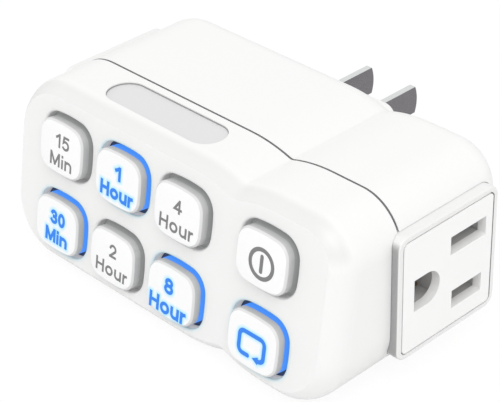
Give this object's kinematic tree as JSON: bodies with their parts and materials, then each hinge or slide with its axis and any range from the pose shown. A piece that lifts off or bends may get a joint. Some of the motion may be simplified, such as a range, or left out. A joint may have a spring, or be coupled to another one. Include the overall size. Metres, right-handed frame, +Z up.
{
  "type": "plug in timer switch",
  "caption": "Plug-in countdown timer in a white wall-plug housing, with push buttons on a sloping face, ring lights and a grounded outlet in each end.",
  "frame": {"origin": "on the seating face of the plug's boss, midway between the two flat blades", "axes": "+Y out of the plug towards the wall, +X along the housing to the right outlet, +Z up"},
  "size_m": [0.0967, 0.0792, 0.0403],
  "materials": {
    "white_abs": "fine satin",
    "clear_grey": "satin translucent",
    "cap_white": "satin",
    "black_nylon": "moulded",
    "phosphor_bronze": "stamped",
    "plated_blade": "nickel plated, brushed",
    "zinc_steel": "zinc plated",
    "green_board": "solder masked",
    "relay_blue": "moulded",
    "film_yellow": "potted",
    "can_sleeve": "shrink sleeve",
    "disc_blue": "dipped epoxy",
    "resistor_grey": "lacquered",
    "led_lens": "clear epoxy"
  },
  "bodies": {
    "housing": {"front_cover": "white_abs", "rear_housing": "white_abs", "cover_screws": "zinc_steel", "line_strip": "phosphor_bronze", "neutral_strip": "phosphor_bronze", "ground_strip": "phosphor_bronze", "line_blade": "plated_blade", "neutral_blade": "plated_blade", "ground_pin": "plated_blade", "blade_carrier": "black_nylon", "power_board": "green_board", "relay": "relay_blue", "film_capacitor": "film_yellow", "filter_capacitor": "can_sleeve", "varistor": "disc_blue", "fuse_resistor": "resistor_grey", "power_board_screws": "zinc_steel", "button_board": "green_board", "tact_switches": "black_nylon", "ring_leds": "led_lens", "board_link": "black_nylon", "timer_chip": "black_nylon", "button_board_screws": "zinc_steel", "right_outlet_bezel": "white_abs", "right_outlet_plate": "white_abs", "right_contact_block": "white_abs", "right_line_contact": "phosphor_bronze", "right_neutral_contact": "phosphor_bronze", "right_ground_contact": "phosphor_bronze", "left_outlet_bezel": "white_abs", "left_outlet_plate": "white_abs", "left_contact_block": "white_abs", "left_line_contact": "phosphor_bronze", "left_neutral_contact": "phosphor_bronze", "left_ground_contact": "phosphor_bronze"},
    "button_15_min": {"cap_15_min": "cap_white", "light_ring_15_min": "clear_grey", "stem_15_min": "black_nylon"},
    "button_1_hour": {"cap_1_hour": "cap_white", "light_ring_1_hour": "clear_grey", "stem_1_hour": "black_nylon"},
    "button_4_hour": {"cap_4_hour": "cap_white", "light_ring_4_hour": "clear_grey", "stem_4_hour": "black_nylon"},
    "button_power": {"cap_power": "cap_white", "light_ring_power": "clear_grey", "stem_power": "black_nylon"},
    "button_30_min": {"cap_30_min": "cap_white", "light_ring_30_min": "clear_grey", "stem_30_min": "black_nylon"},
    "button_2_hour": {"cap_2_hour": "cap_white", "light_ring_2_hour": "clear_grey", "stem_2_hour": "black_nylon"},
    "button_8_hour": {"cap_8_hour": "cap_white", "light_ring_8_hour": "clear_grey", "stem_8_hour": "black_nylon"},
    "button_repeat": {"cap_repeat": "cap_white", "light_ring_repeat": "clear_grey", "stem_repeat": "black_nylon"}
  },
  "joints": [
    {"name": "press_15_min", "type": "slide", "parent": "housing", "child": "button_15_min", "axis": [0, 0.9852, -0.1712], "range_m": [0, 0.001], "stiffness_N_per_m": 1600},
    {"name": "press_1_hour", "type": "slide", "parent": "housing", "child": "button_1_hour", "axis": [0, 0.9852, -0.1712], "range_m": [0, 0.001], "stiffness_N_per_m": 1600},
    {"name": "press_4_hour", "type": "slide", "parent": "housing", "child": "button_4_hour", "axis": [0, 0.9852, -0.1712], "range_m": [0, 0.001], "stiffness_N_per_m": 1600},
    {"name": "press_power", "type": "slide", "parent": "housing", "child": "button_power", "axis": [0, 0.9852, -0.1712], "range_m": [0, 0.001], "stiffness_N_per_m": 1600},
    {"name": "press_30_min", "type": "slide", "parent": "housing", "child": "button_30_min", "axis": [0, 0.9852, -0.1712], "range_m": [0, 0.001], "stiffness_N_per_m": 1600},
    {"name": "press_2_hour", "type": "slide", "parent": "housing", "child": "button_2_hour", "axis": [0, 0.9852, -0.1712], "range_m": [0, 0.001], "stiffness_N_per_m": 1600},
    {"name": "press_8_hour", "type": "slide", "parent": "housing", "child": "button_8_hour", "axis": [0, 0.9852, -0.1712], "range_m": [0, 0.001], "stiffness_N_per_m": 1600},
    {"name": "press_repeat", "type": "slide", "parent": "housing", "child": "button_repeat", "axis": [0, 0.9852, -0.1712], "range_m": [0, 0.001], "stiffness_N_per_m": 1600}
  ]
}
